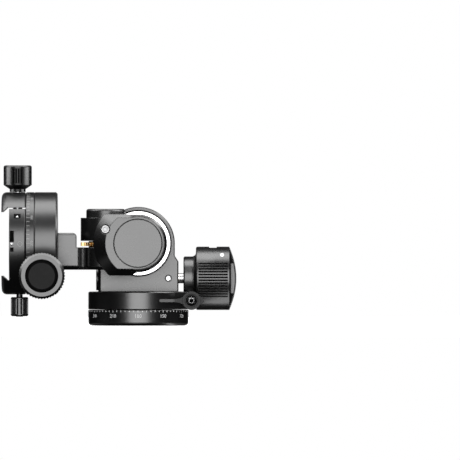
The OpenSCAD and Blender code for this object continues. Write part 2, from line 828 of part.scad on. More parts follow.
module clamp_blank() {
  x1 = scale_x - 0.2;
  difference() {
    rotate([0, 90, 0]) rotate_extrude() polygon(concat([[0, jaw_x], [disc_r - 2.7, jaw_x]],
      arc(disc_r - 2.7, jaw_x + 2.7, 2.7, -90, 0),
      [[disc_r, x1 - 0.4], [disc_r - 0.4, x1], [0, x1]]));
    translate([0, 100, groove_shift]) rotate([90, 0, 0]) linear_extrude(200) polygon([
      [jaw_x - 1, -root_half + tip_over], [jaw_x + 0.7, -root_half + tip_over], [floor_x - 0.9, -root_half],
      [floor_x, -root_half], [floor_x, root_half], [floor_x - 0.9, root_half],
      [jaw_x + 0.7, root_half - tip_over], [jaw_x - 1, root_half - tip_over]]);
  }
}

module clamp_body() {
  color(BLACK) at_platform() difference() {
    clamp_blank();
    translate([-150, -100, part_z - jaw_gap]) cube([200, 200, 100]);
    translate([-150, -100, 0]) cube([150 + floor_x, 200, 100]);
    xcyl(10 + fit, floor_x + 1, 0);
    xcyl(plate_r + 0.3, floor_x - 1, floor_x + 2.4);
    translate([clamp_x, 0, 0]) {
      zcyl(screw_r + fit, screw_end - 0.7, 40);
      for (s = [-pin_y, pin_y]) translate([0, s, 0]) zcyl(2, pin_end, 40);
      translate([lock_shift, 0, 0]) zcyl(1.7 + fit, -40, 0);
    }
    translate([floor_x + 0.5, -disc_r - 1, 0.7]) cube([2.1, 8, 6]);
  }
}

module guide_pins() {
  color(STEEL) at_clamp_knob() for (s = [-pin_y, pin_y])
    translate([0, s, 0]) zcyl(2, pin_end, part_z + 3.8);
}

module sliding_jaw() {
  color(BLACK) at_platform() difference() {
    clamp_blank();
    translate([-150, -100, part_z - 100]) cube([150 + floor_x, 200, 100 - tip_over - e]);
    translate([floor_x - 0.9, -100, part_z - 100]) cube([200, 200, 100]);
    translate([clamp_x, 0, 0]) {
      zcyl(screw_r + fit, 0, 40);
      for (s = [-pin_y, pin_y]) translate([0, s, 0]) zcyl(2 + fit, 0, part_z + 4.7);
    }
  }
}

module clamp_knob() {
  r = clamp_knob_r;
  z0 = disc_r + 0.1;
  z1 = z0 + clamp_knob_len;
  color(BLACK) at_clamp_knob() difference() {
    rotate_extrude() polygon(concat([[0, z0], [4.3, z0], [4.3, z0 + 1.5], [r - 0.6, z0 + 3.3]],
      [[r, z0 + 3.8]], arc(r - 1, z1 - 1, 1, 0, 90, 4), [[0, z1]]));
    zcyl(screw_r, 0, z0 + 9);
    for (q = [0:90:270], i = [-1.5:1.5]) rotate(q + i * 10.2) translate([0, 0, z0 + 4.6])
      linear_extrude(clamp_knob_len - 6.5) polygon([[r - 0.8, 0], [r + 0.1, -0.46], [r + 0.1, 0.46]]);
  }
}

module clamp_screw() {
  color(STEEL) at_clamp_knob() zcyl(screw_r, screw_end, disc_r + 9.1);
}

module platform_lock_knob() {
  r = lock_knob_r;
  z0 = -disc_r - 1.4;
  color(BLACK) at_clamp_knob() translate([lock_shift, 0, 0]) difference() {
    union() {
      zcyl(1.7, z0 - 1, -10.2);
      rotate_extrude() polygon([[0, z0], [r - 0.5, z0], [r, z0 - 0.5], [r, z0 - 9.7], [r - 0.6, z0 - 10.3],
        [2, z0 - 10.3], [1.7, z0 - 10.6], [0, z0 - 10.6]]);
    }
    for (a = [10:40:330]) rotate(a) translate([r + 0.3, 0, 0]) zcyl(1.1, z0 - 9.2, z0 - 1);
  }
}

// Drawing

base_disc();
tripod_bush();
pan_glide_washer();
pan_retainer();
pan_retainer_screws();
pan_ring();
pan_cover();
bracket();
bracket_screws();
tilt_bearing_ring();
tilt_rear_bush();
tilt_worm_bushes();
worm_end_cover();
bracket_pin();
lock_lever();
lock_screw();
tilt_housing();
tilt_cap();
tilt_axle();
tilt_wheel();
tilt_lock_nut();
roll_cap();
housing_screw();
roll_worm_bushes();
tilt_worm();
tilt_shaft();
tilt_knob();
tilt_knob_cap();
roll_worm();
roll_shaft();
roll_knob();
roll_knob_disc();
roll_arm();
roll_spindle();
roll_wheel();
roll_nut();
platform_body();
scale_ring();
arm_screws();
platform_worm_bushes();
platform_worm();
platform_shaft();
platform_knob();
platform_knob_disc();
turntable_spindle();
platform_wheel();
turntable_plate();
turntable_screws();
clamp_body();
guide_pins();
platform_lock_knob();
sliding_jaw();
clamp_knob();
clamp_screw();
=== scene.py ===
# %% [markdown]
# A geared tripod head, from bare solids to a finished look.
#
# The solids of the head come from its CAD model and are loaded as a fixed frame. This lesson gives
# every solid a finish, adds the marks and the small trim that are too fine for CAD, and then lights
# the head the way the photograph was lit.

# %% Load the frame
import json
import math

import bmesh
import bpy
from mathutils import Matrix, Vector


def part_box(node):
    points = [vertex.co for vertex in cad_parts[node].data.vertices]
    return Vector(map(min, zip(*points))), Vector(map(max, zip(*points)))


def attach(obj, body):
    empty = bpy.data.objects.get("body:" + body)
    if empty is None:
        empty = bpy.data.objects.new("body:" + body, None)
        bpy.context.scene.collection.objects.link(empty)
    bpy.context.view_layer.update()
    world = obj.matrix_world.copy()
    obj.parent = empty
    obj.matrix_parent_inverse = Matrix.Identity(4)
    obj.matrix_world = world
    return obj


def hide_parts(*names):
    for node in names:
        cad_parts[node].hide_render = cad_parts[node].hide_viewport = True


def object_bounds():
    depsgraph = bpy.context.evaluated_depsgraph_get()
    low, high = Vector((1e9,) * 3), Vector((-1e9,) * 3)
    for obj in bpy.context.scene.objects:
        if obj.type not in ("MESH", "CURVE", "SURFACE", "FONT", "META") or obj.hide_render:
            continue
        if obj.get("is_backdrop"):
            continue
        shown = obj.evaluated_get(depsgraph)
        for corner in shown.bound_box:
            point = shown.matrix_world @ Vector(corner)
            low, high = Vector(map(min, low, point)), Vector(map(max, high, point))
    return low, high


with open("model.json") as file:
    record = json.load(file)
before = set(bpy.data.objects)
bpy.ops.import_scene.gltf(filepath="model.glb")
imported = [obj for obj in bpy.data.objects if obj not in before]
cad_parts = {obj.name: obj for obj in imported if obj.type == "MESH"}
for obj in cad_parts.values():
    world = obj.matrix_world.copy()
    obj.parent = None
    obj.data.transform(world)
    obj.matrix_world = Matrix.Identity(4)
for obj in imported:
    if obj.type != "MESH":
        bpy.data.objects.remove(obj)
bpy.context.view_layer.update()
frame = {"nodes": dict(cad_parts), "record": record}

MM = 0.001
nodes = frame["nodes"]
scene = bpy.context.scene

# %% [markdown]
# The photograph is level and has next to no perspective. An orthographic camera would have none at
# all, so a very long lens far away comes closer to it. The camera looks along +Y. The head stands in
# the left half of the picture, so the camera is moved sideways and its lens needs no shift.

# %% Camera
PICTURE_WIDTH = 247.9 * MM
PICTURE_MIDDLE = Vector((49.4 * MM, 0.0, 51.4 * MM))
CAMERA_DISTANCE = 8.0
SENSOR_WIDTH = 36.0
NEAREST, FARTHEST = 0.1, 60.0
QUARTER_TURN = math.radians(90.0)

lens = bpy.data.cameras.new("portrait_lens")
lens.sensor_width = SENSOR_WIDTH
lens.lens = SENSOR_WIDTH * CAMERA_DISTANCE / PICTURE_WIDTH
lens.clip_start = NEAREST
lens.clip_end = FARTHEST
camera = bpy.data.objects.new("portrait_camera", lens)
camera.location = PICTURE_MIDDLE + Vector((0.0, -CAMERA_DISTANCE, 0.0))
camera.rotation_euler = (QUARTER_TURN, 0.0, 0.0)
scene.collection.objects.link(camera)
scene.camera = camera
scene.view_settings.view_transform = "Standard"
print("camera: lens", round(lens.lens), "mm")

# %% [markdown]
# Node trees are easier to read when each line makes one step. Four helpers do that: one adds a node
# and sets its plain values, one links two sockets, one calculates with sockets and numbers, and one
# takes a value from one level to another between two limits, which is how most masks are made.

# %% Helpers for node trees


def add_node(tree, kind, values=None, **settings):
    node = tree.nodes.new(kind)
    for key, value in settings.items():
        setattr(node, key, value)
    for key, value in (values or {}).items():
        node.inputs[key].default_value = value
    return node


def link(tree, source, target):
    tree.links.new(source, target)


def calculate(tree, operation, *terms):
    # a term is a socket or a plain number
    node = add_node(tree, "ShaderNodeMath", operation=operation)
    for place, term in enumerate(terms):
        if isinstance(term, float):
            node.inputs[place].default_value = term
        else:
            link(tree, term, node.inputs[place])
    return node.outputs["Value"]


def ramp(tree, value, start, end, low=0.0, high=1.0):
    limits = {"From Min": start, "From Max": end, "To Min": low, "To Max": high}
    ranged = add_node(tree, "ShaderNodeMapRange", limits)
    link(tree, value, ranged.inputs["Value"])
    return ranged.outputs["Result"]


# %% [markdown]
# An effect that several finishes share is built once, as a node group. The group's sockets are named
# for what they hold, so that a finish only has to fill in its own values.

# %% Helper for groups
FLOAT, VECTOR = "NodeSocketFloat", "NodeSocketVector"


def new_group(name, inputs, outputs):
    group = bpy.data.node_groups.new(name, "ShaderNodeTree")
    for title, kind, value in inputs:
        socket = group.interface.new_socket(title, in_out="INPUT", socket_type=kind)
        if value is not None:
            socket.default_value = value
    for title, kind in outputs:
        group.interface.new_socket(title, in_out="OUTPUT", socket_type=kind)
    entry = group.nodes.new("NodeGroupInput")
    leave = group.nodes.new("NodeGroupOutput")
    print("group:", name, "with", len(inputs), "inputs and", len(outputs), "outputs")
    return group, entry, leave


# %% [markdown]
# Anodised aluminium is blasted with fine beads before it is dyed. Close up, that leaves a grain of
# tiny dents, and handling leaves broad faint patches that are a little smoother. Both are noise at
# very different scales. Noise has no seams and stays sharp at any distance, so one group gives both
# to every finish that needs them.

# %% Bead-blast grain group
grain_group, entry, leave = new_group(
    "bead_blast_grain",
    [("Vector", VECTOR, None), ("Grain per metre", FLOAT, 5200.0), ("Patches per metre", FLOAT, 70.0)],
    [("Grain", FLOAT), ("Patches", FLOAT)],
)
fine = add_node(grain_group, "ShaderNodeTexNoise", {"Detail": 2.0, "Roughness": 0.6})
broad = add_node(grain_group, "ShaderNodeTexNoise", {"Detail": 3.0, "Roughness": 0.55, "Distortion": 0.4})
link(grain_group, entry.outputs["Vector"], fine.inputs["Vector"])
link(grain_group, entry.outputs["Grain per metre"], fine.inputs["Scale"])
link(grain_group, entry.outputs["Vector"], broad.inputs["Vector"])
link(grain_group, entry.outputs["Patches per metre"], broad.inputs["Scale"])
link(grain_group, fine.outputs["Fac"], leave.inputs["Grain"])
link(grain_group, broad.outputs["Fac"], leave.inputs["Patches"])

# %% [markdown]
# No machined edge is perfectly sharp: the cutter leaves a small break, and that break is where the
# dye rubs off first. A bevel on every solid would mean a new mesh for each, so the Bevel node rounds
# the shading normal instead. Where the rounded normal differs from the true one there is an edge, and
# a noise breaks the rubbed line into patches.

# %% Broken-edge group
FLAT_LIKENESS, EDGE_LIKENESS = 0.985, 0.80
SPECKLE_FROM, SPECKLE_TO = 0.42, 0.72

edge_group, entry, leave = new_group(
    "broken_edge",
    [("Vector", VECTOR, None), ("Radius", FLOAT, 0.25 * MM), ("Rub", FLOAT, 0.5)],
    [("Normal", VECTOR), ("Worn", FLOAT)],
)
rounded = add_node(edge_group, "ShaderNodeBevel", samples=6)
true_normal = add_node(edge_group, "ShaderNodeNewGeometry")
likeness = add_node(edge_group, "ShaderNodeVectorMath", operation="DOT_PRODUCT")
speckle = add_node(edge_group, "ShaderNodeTexNoise", {"Scale": 900.0, "Detail": 4.0, "Roughness": 0.7})
link(edge_group, entry.outputs["Radius"], rounded.inputs["Radius"])
link(edge_group, rounded.outputs["Normal"], likeness.inputs[0])
link(edge_group, true_normal.outputs["Normal"], likeness.inputs[1])
link(edge_group, entry.outputs["Vector"], speckle.inputs["Vector"])
at_edge = ramp(edge_group, likeness.outputs["Value"], FLAT_LIKENESS, EDGE_LIKENESS)
patchy = ramp(edge_group, speckle.outputs["Fac"], SPECKLE_FROM, SPECKLE_TO)
rubbed = calculate(edge_group, "MULTIPLY", at_edge, patchy)
worn = calculate(edge_group, "MULTIPLY", rubbed, entry.outputs["Rub"])
link(edge_group, rounded.outputs["Normal"], leave.inputs["Normal"])
link(edge_group, worn, leave.inputs["Worn"])

# %% [markdown]
# Turned metal carries the fine spiral that the lathe tool leaves. Seen face on it is a set of close
# rings round the axis, so a Wave texture in rings does it. The Mapping node of each finish moves the
# middle of the rings to the axis of the piece and turns that axis upright.

# %% Lathe-ring group
lathe_group, entry, leave = new_group(
    "lathe_rings",
    [("Vector", VECTOR, None), ("Rings per metre", FLOAT, 700.0)],
    [("Rings", FLOAT), ("Tone", FLOAT)],
)
rings = add_node(
    lathe_group, "ShaderNodeTexWave", {"Distortion": 0.6, "Detail": 2.0, "Detail Scale": 1.5},
    wave_type="RINGS", rings_direction="Z",
)
tone = add_node(lathe_group, "ShaderNodeTexNoise", {"Scale": 260.0, "Detail": 3.0})
link(lathe_group, entry.outputs["Vector"], rings.inputs["Vector"])
link(lathe_group, entry.outputs["Rings per metre"], rings.inputs["Scale"])
link(lathe_group, entry.outputs["Vector"], tone.inputs["Vector"])
link(lathe_group, rings.outputs["Fac"], leave.inputs["Rings"])
link(lathe_group, tone.outputs["Fac"], leave.inputs["Tone"])

# %% [markdown]
# Every finish starts in the same way: a material whose patterns read Object coordinates, so that they
# stay on the piece when it moves. Three more helpers blend two tones by a mask, add a bump, and lay a
# clear coat.

# %% Helpers for materials
COAT_IOR = 1.5


def new_material(name):
    material = bpy.data.materials.new(name)
    material.use_nodes = True
    tree = material.node_tree
    shader = tree.nodes["Principled BSDF"]
    place = add_node(tree, "ShaderNodeTexCoord").outputs["Object"]
    print("material:", name)
    return material, tree, shader, place


def blend_colour(tree, mask, dark, light):
    mix = add_node(tree, "ShaderNodeMix", data_type="RGBA")
    mix.inputs["A"].default_value = (*dark, 1.0)
    mix.inputs["B"].default_value = (*light, 1.0)
    link(tree, mask, mix.inputs["Factor"])
    return mix.outputs["Result"]


def add_bump(tree, shader, height, strength, depth, normal=None):
    bump = add_node(tree, "ShaderNodeBump", {"Strength": strength, "Distance": depth})
    link(tree, height, bump.inputs["Height"])
    if normal is not None:
        link(tree, normal, bump.inputs["Normal"])
    link(tree, bump.outputs["Normal"], shader.inputs["Normal"])


def add_coat(tree, weight, roughness, ior=COAT_IOR):
    shader = tree.nodes["Principled BSDF"]
    link(tree, weight, shader.inputs["Coat Weight"])
    shader.inputs["Coat Roughness"].default_value = roughness
    shader.inputs["Coat IOR"].default_value = ior


# %% [markdown]
# The black metal is a dyed oxide: a dark body under a thin hard skin that mirrors softly, like a
# dielectric. That is why it looks mid-grey where it faces the soft box and almost black beside it.
# A metallic shader would tint the mirror image with the dark dye and lose that, so the colour stays
# dark and the skin's gloss is left to the specular level.

# %% Anodised metal
DENT_STRENGTH, DENT_DEPTH = 0.1, 0.02 * MM
RUBBED_OFF = 0.1
BARE_ALUMINIUM = (0.16, 0.16, 0.165, 1.0)


def anodised(name, dark, light, smooth, rough, gloss=0.88, edge=0.35):
    # smooth and rough are the two ends of the roughness, edge is the break in millimetres
    material, tree, shader, place = new_material(name)
    grain = add_node(tree, "ShaderNodeGroup", node_tree=grain_group)
    breaks = {"Radius": edge * MM, "Rub": RUBBED_OFF}
    edges = add_node(tree, "ShaderNodeGroup", breaks, node_tree=edge_group)
    link(tree, place, grain.inputs["Vector"])
    link(tree, place, edges.inputs["Vector"])
    body = blend_colour(tree, grain.outputs["Patches"], dark, light)
    worn = add_node(tree, "ShaderNodeMix", data_type="RGBA")
    worn.inputs["B"].default_value = BARE_ALUMINIUM
    link(tree, body, worn.inputs["A"])
    link(tree, edges.outputs["Worn"], worn.inputs["Factor"])
    link(tree, worn.outputs["Result"], shader.inputs["Base Color"])
    link(tree, ramp(tree, grain.outputs["Patches"], 0.0, 1.0, smooth, rough), shader.inputs["Roughness"])
    add_bump(tree, shader, grain.outputs["Grain"], DENT_STRENGTH, DENT_DEPTH, edges.outputs["Normal"])
    shader.inputs["Specular IOR Level"].default_value = gloss
    return material


# %% [markdown]
# All black pieces take the same dye. What differs is the surface under it: milled flats mirror most
# clearly, knobs and turned rims a little less, and blasted bodies least. Knobs and scales keep sharp
# edges, and the roll arm has its edges broken most.

# %% Black finishes
DYE_DARK, DYE_LIGHT = (0.0012, 0.0012, 0.0013), (0.0025, 0.0025, 0.0027)


def black(name, smooth, rough, **more):
    return anodised(name, DYE_DARK, DYE_LIGHT, smooth, rough, **more)


# both ends of the roughness, then the break of the edge in millimetres
black_anodised = black("black_anodised", 0.32, 0.37, edge=0.5)
black_turned = black("black_turned", 0.29, 0.32, gloss=0.95, edge=0.2)
black_milled = black("black_milled", 0.25, 0.30, edge=0.5)
black_knob = black("black_knob", 0.28, 0.33, edge=0.07)
black_scale = black("black_scale", 0.31, 0.36, edge=0.12)
black_broken_edge = black("black_broken_edge", 0.25, 0.30, edge=1.0)

# %% [markdown]
# The lever is satin grey, and fingers polish its thin arm. The polish could be a second material, but
# the lever is one solid with one slot. A clear coat that grows along X, from the hub to the arm, does
# the same.

# %% Lever
SATIN_DARK, SATIN_LIGHT = (0.014, 0.014, 0.0145), (0.02, 0.02, 0.0205)
ARM_STARTS, ARM_SHINES = 21.0 * MM, 18.0 * MM
ARM_ROUGHNESS = 0.5


def object_axes(tree):
    axes = add_node(tree, "ShaderNodeSeparateXYZ")
    link(tree, tree.nodes["Texture Coordinate"].outputs["Object"], axes.inputs["Vector"])
    return axes.outputs


grey_lever = anodised("grey_lever", SATIN_DARK, SATIN_LIGHT, 0.45, 0.55, gloss=0.25)
tree = grey_lever.node_tree
axes = object_axes(tree)
add_coat(tree, ramp(tree, axes["X"], ARM_STARTS, ARM_SHINES), ARM_ROUGHNESS)

# %% [markdown]
# The clamp knob has four bands of ribs with smooth lands between them. The ribs are duller than the
# lands, so the coat lies on the lands and on the top only. The cosine of four times the angle round
# the knob's axis is highest in the middle of each band, which makes it a mask for the ribs.

# %% Clamp knob
CLAMP_KNOB_X, CLAMP_KNOB_Y = -64.75 * MM, -19.0 * MM
RIB_BANDS = 4.0
LAND_WAVE, RIB_WAVE = -0.1, 0.2
RIBS_END, RIBS_FULL = 85.3 * MM, 84.9 * MM
LAND_ROUGHNESS, LAND_IOR = 0.3, 1.6

clamp_knob_black = black("clamp_knob_black", 0.28, 0.33, gloss=0.2, edge=0.07)
tree = clamp_knob_black.node_tree
axes = object_axes(tree)
from_axis_x = calculate(tree, "SUBTRACT", axes["X"], CLAMP_KNOB_X)
from_axis_y = calculate(tree, "SUBTRACT", axes["Y"], CLAMP_KNOB_Y)
angle = calculate(tree, "ARCTAN2", from_axis_y, from_axis_x)
wave = calculate(tree, "COSINE", calculate(tree, "MULTIPLY", angle, RIB_BANDS))
in_band = ramp(tree, wave, LAND_WAVE, RIB_WAVE)
below_top = ramp(tree, axes["Z"], RIBS_END, RIBS_FULL)
ribbed = calculate(tree, "MULTIPLY", in_band, below_top)
add_coat(tree, ramp(tree, ribbed, 0.0, 1.0, 1.0, 0.0), LAND_ROUGHNESS, LAND_IOR)

# %% [markdown]
# Steel and brass are bare metal, so their colour is the colour of the reflection. The lathe rings
# vary the roughness and the height a little, which draws the highlight out along the cut. An
# anisotropic shader would stretch the highlight too, but it would not show the rings themselves.

# %% Turned metal
TURNED_EDGE = 0.15 * MM
RING_DEPTH = 0.02 * MM
RINGS_PER_METRE = 1800.0


def turned_metal(name, dark, light, smooth, rough, middle, turn, strength):
    material, tree, shader, place = new_material(name)
    mapping = add_node(tree, "ShaderNodeMapping", vector_type="TEXTURE")
    mapping.inputs["Location"].default_value = middle
    mapping.inputs["Rotation"].default_value = turn
    pitch = {"Rings per metre": RINGS_PER_METRE}
    lathe = add_node(tree, "ShaderNodeGroup", pitch, node_tree=lathe_group)
    edges = add_node(tree, "ShaderNodeGroup", {"Radius": TURNED_EDGE}, node_tree=edge_group)
    link(tree, place, mapping.inputs["Vector"])
    link(tree, mapping.outputs["Vector"], lathe.inputs["Vector"])
    link(tree, place, edges.inputs["Vector"])
    body = blend_colour(tree, lathe.outputs["Tone"], dark, light)
    link(tree, body, shader.inputs["Base Color"])
    link(tree, ramp(tree, lathe.outputs["Rings"], 0.0, 1.0, smooth, rough), shader.inputs["Roughness"])
    add_bump(tree, shader, lathe.outputs["Rings"], strength, RING_DEPTH, edges.outputs["Normal"])
    shader.inputs["Metallic"].default_value = 1.0
    return material


# %% [markdown]
# The bearing ring is polished and bright. The other steel pieces are less bright, the housing screw is
# dull, and the lever's screw is blackened. The worm wheel that shows in the gap is brass. The rings of
# the steel are centred on the tilt axis, those of the blackened steel on the lever's screw, and those
# of the brass on the roll axis.

# %% Steel and brass
TILT_Z = 44.25 * MM
ROLL_X, ROLL_Y = -17.4 * MM, -19.0 * MM
ALONG_Y = (QUARTER_TURN, 0.0, 0.0)
UPRIGHT = (0.0, 0.0, 0.0)
ON_TILT = (0.0, 0.0, TILT_Z)
ON_ROLL = (ROLL_X, ROLL_Y, TILT_Z)
ON_SCREW = (28.7 * MM, 0.0, 13.45 * MM)

# dark and light tone, both ends of the roughness, middle and direction of the rings, their strength
ring_steel = turned_metal(
    "ring_steel", (0.80, 0.80, 0.81), (0.88, 0.88, 0.89), 0.22, 0.27, ON_TILT, ALONG_Y, 0.01)
steel = turned_metal(
    "steel", (0.58, 0.58, 0.59), (0.70, 0.70, 0.71), 0.26, 0.36, ON_TILT, ALONG_Y, 0.02)
black_steel = turned_metal(
    "black_steel", (0.16, 0.16, 0.163), (0.22, 0.22, 0.223), 0.12, 0.18, ON_SCREW, ALONG_Y, 0.02)
dull_steel = turned_metal(
    "dull_steel", (0.32, 0.32, 0.325), (0.42, 0.42, 0.425), 0.45, 0.55, ON_TILT, ALONG_Y, 0.02)
brass = turned_metal(
    "brass", (0.62, 0.40, 0.15), (0.80, 0.57, 0.28), 0.24, 0.36, ON_ROLL, UPRIGHT, 0.03)

# %% [markdown]
# The inserts of the two round knobs are moulded in matt plastic, and the glide washer is white
# acetal. The marks are a thin matt paint with slightly uneven cover. All of them are a grain on a
# plain dielectric, so one function makes them, with a finer grain for the paint.

# %% Matt plastic and paint
PATCHES_PER_METRE = 180.0
MOULD_DEPTH = 0.03 * MM
PAINT_GRAIN, PAINT_STRENGTH = 4000.0, 0.1


def matt(name, dark, light, smooth, rough, per_metre, strength, gloss):
    material, tree, shader, place = new_material(name)
    pitch = {"Grain per metre": per_metre, "Patches per metre": PATCHES_PER_METRE}
    grain = add_node(tree, "ShaderNodeGroup", pitch, node_tree=grain_group)
    link(tree, place, grain.inputs["Vector"])
    body = blend_colour(tree, grain.outputs["Patches"], dark, light)
    link(tree, body, shader.inputs["Base Color"])
    link(tree, ramp(tree, grain.outputs["Grain"], 0.0, 1.0, smooth, rough), shader.inputs["Roughness"])
    add_bump(tree, shader, grain.outputs["Grain"], strength, MOULD_DEPTH)
    shader.inputs["Specular IOR Level"].default_value = gloss
    return material


def grey(tone):
    return (tone, tone, tone)


def paint(name, dark, light, smooth, rough, gloss):
    return matt(name, grey(dark), grey(light), smooth, rough, PAINT_GRAIN, PAINT_STRENGTH, gloss)


# dark and light tone, both ends of the roughness, grain per metre and its strength, gloss
grey_insert = matt("grey_insert", grey(0.013), grey(0.018), 0.62, 0.78, 2600.0, 0.3, 0.12)
white_acetal = matt("white_acetal", (0.78, 0.78, 0.75), (0.86, 0.86, 0.83), 0.45, 0.6, 3000.0, 0.1, 0.4)
# dark and light tone, both ends of the roughness, gloss
white_paint = paint("white_paint", 0.72, 0.85, 0.5, 0.65, 0.2)
thin_paint = paint("thin_paint", 0.48, 0.60, 0.5, 0.65, 0.05)
grey_paint = paint("grey_paint", 0.26, 0.36, 0.5, 0.65, 0.2)
# black paint for the windows, which also serves as painted shade in the knob and screw gaps, the stop
# slot and the socket
black_paint_and_shade = paint("black_paint_and_shade", 0.001, 0.003, 0.7, 0.8, 0.05)

# %% [markdown]
# Each solid names its finish in the record. One loop replaces the plain colours that came with the
# frame by the finishes above. A few solids then get the finish that suits how they were made: turned
# rims, milled flats, the arm with its broken edges, the dull screw and the clamp knob.

# %% Dress the solids
FINISHES = {
    "black_anodised": black_anodised, "black_scale": black_scale, "black_knob": black_knob,
    "grey_insert": grey_insert, "grey_lever": grey_lever, "black_steel": black_steel,
    "polished_steel": ring_steel, "steel": steel, "brass": brass, "white_acetal": white_acetal,
}
OWN_FINISHES = {
    "base_disc": black_turned, "pan_ring": black_turned, "tilt_housing": black_milled,
    "tilt_cap": black_milled, "bracket": black_milled, "roll_arm": black_broken_edge,
    "housing_screw": dull_steel, "clamp_knob": clamp_knob_black,
}
for part in frame["record"]["subparts"]:
    mesh = nodes[part["node"]].data
    mesh.materials.clear()
    mesh.materials.append(FINISHES[part["material_slot"]])
for name, finish in OWN_FINISHES.items():
    nodes[name].data.materials[0] = finish

# %% [markdown]
# Every new piece ends in the same way. Its normals are turned outwards, its open edges are counted,
# and its object stays at the origin and rides on the body that carries it.

# %% Helper for pieces


def finish_piece(name, bm, material, body):
    bmesh.ops.recalc_face_normals(bm, faces=bm.faces[:])
    open_edges = sum(1 for edge in bm.edges if not edge.is_manifold)
    mesh = bpy.data.meshes.new(name)
    bm.to_mesh(mesh)
    bm.free()
    mesh.materials.append(material)
    piece = bpy.data.objects.new(name, mesh)
    scene.collection.objects.link(piece)
    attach(piece, body)
    print("piece:", name, "with", len(mesh.polygons), "faces and", open_edges, "open edges")
    return piece


# %% [markdown]
# The pan dial is engraved in the base and filled with white paint. Cutting the lines would mean a new
# mesh for the base, and they are so shallow that thin inlaid bars do the same job. Each bar is a small
# box sunk into the metal, with a face just proud of it, copied round the axis of the dial.

# %% Pan dial lines
PROUD = 0.03 * MM
SUNK = 0.12 * MM
LINES = 72
LINE_STEP = 360.0 / LINES
LONG_LINE_EVERY = 6
TO_FRONT = -90.0
BASE_R = 27.0 * MM
DIAL_TOP = 8.1 * MM
DIAL_LONG, DIAL_SHORT, DIAL_LINE_WIDTH = 0.9 * MM, 0.75 * MM, 0.34 * MM


def rotation(degrees, axis):
    return Matrix.Rotation(math.radians(degrees), 4, axis)


def add_bar(bm, size, place):
    bmesh.ops.create_cube(bm, size=1.0, matrix=place @ Matrix.Diagonal((*size, 1.0)))


bars = bmesh.new()
for step in range(LINES):
    tall = DIAL_SHORT if step % LONG_LINE_EVERY else DIAL_LONG
    turn = rotation(LINE_STEP * step + TO_FRONT, "Z")
    out = Matrix.Translation((BASE_R + PROUD - SUNK / 2, 0.0, DIAL_TOP - tall / 2))
    add_bar(bars, (SUNK, DIAL_LINE_WIDTH, tall), turn @ out)
finish_piece("pan_dial_lines", bars, white_paint, "base")

# %% [markdown]
# The platform's scale ring has the same kind of lines round the platform's axis, which lies along X.
# They are finer, and their paint is greyer. The bars start a little way in from the ring's left end.

# %% Platform scale lines
DISC_R = 27.5 * MM
PLATFORM_AXIS = Matrix.Translation((0.0, ROLL_Y, TILT_Z))
SCALE_LEFT = -60.2 * MM
SCALE_MARGIN = 0.5 * MM
SCALE_LONG, SCALE_SHORT, SCALE_LINE_WIDTH = 2.1 * MM, 1.6 * MM, 0.22 * MM

bars = bmesh.new()
for step in range(LINES):
    reach = SCALE_SHORT if step % LONG_LINE_EVERY else SCALE_LONG
    turn = rotation(LINE_STEP * step, "X")
    out = Matrix.Translation((SCALE_LEFT + SCALE_MARGIN + reach / 2, 0.0, DISC_R + PROUD - SUNK / 2))
    add_bar(bars, (reach, SCALE_LINE_WIDTH, SUNK), PLATFORM_AXIS @ turn @ out)
finish_piece("platform_scale_lines", bars, grey_paint, "roll")

# %% [markdown]
# The numbers start as flat text. A Curve modifier could bend it, but its long flat faces would cut
# through the round metal. So the text is turned into a mesh, cut into narrow upright strips, and
# rolled round the dial. The strips keep every letter on the round face.

# %% Helpers for numbers
CAPITAL_SHARE = 0.7
CURVE_STEPS = 4
WELD = 0.001 * MM
STRIP = 0.4 * MM


def flat_text(words, height, thickness, bold):
    curve = bpy.data.curves.new("number", "FONT")
    curve.body = words
    curve.size = height / CAPITAL_SHARE
    curve.align_x = "CENTER"
    curve.align_y = "CENTER"
    curve.extrude = thickness / 2
    curve.offset = bold
    curve.resolution_u = CURVE_STEPS
    flat = bpy.data.objects.new("number", curve)
    scene.collection.objects.link(flat)
    bpy.context.view_layer.update()
    seen = flat.evaluated_get(bpy.context.evaluated_depsgraph_get())
    mesh = bpy.data.meshes.new_from_object(seen)
    bpy.data.objects.remove(flat)
    bm = bmesh.new()
    bm.from_mesh(mesh)
    bpy.data.meshes.remove(mesh)
    bmesh.ops.remove_doubles(bm, verts=bm.verts[:], dist=WELD)
    return bm


def cut_strips(bm, pitch):
    reach = max(abs(v.co.x) for v in bm.verts)
    count = int(reach / pitch)
    for i in range(-count, count + 1):
        every = bm.verts[:] + bm.edges[:] + bm.faces[:]
        bmesh.ops.bisect_plane(bm, geom=every, plane_co=(i * pitch, 0.0, 0.0), plane_no=(1.0, 0.0, 0.0))


def roll_up(bm, radius):
    # text x runs round a +Z axis, text y stays upright, text z points outwards at angle zero
    for v in bm.verts:
        angle = v.co.x / radius
        far = radius + v.co.z
        v.co = Vector((far * math.cos(angle), far * math.sin(angle), v.co.y))


def add_text(target, words, height, radius, place, bold=0.0):
    bm = flat_text(words, height, SUNK, bold)
    cut_strips(bm, STRIP)
    roll_up(bm, radius + PROUD - SUNK / 2)
    bmesh.ops.transform(bm, matrix=place, verts=bm.verts[:])
    mesh = bpy.data.meshes.new("part_of_dial")
    bm.to_mesh(mesh)
    bm.free()
    target.from_mesh(mesh)
    bpy.data.meshes.remove(mesh)


# %% [markdown]
# The pan dial has a number at every sixth line, with 180 at the front, and the numbers fall as they
# go round to the right. They are painted thinner than the lines and a little bolder than the font.

# %% Pan dial numbers
NUMBER_STEP = 30
NUMBERS = 360 // NUMBER_STEP
FRONT_NUMBER = 180
DIAL_NUMBER_Z = 5.1 * MM
DIAL_NUMBER_TALL, DIAL_NUMBER_BOLD = 1.8 * MM, 0.05 * MM

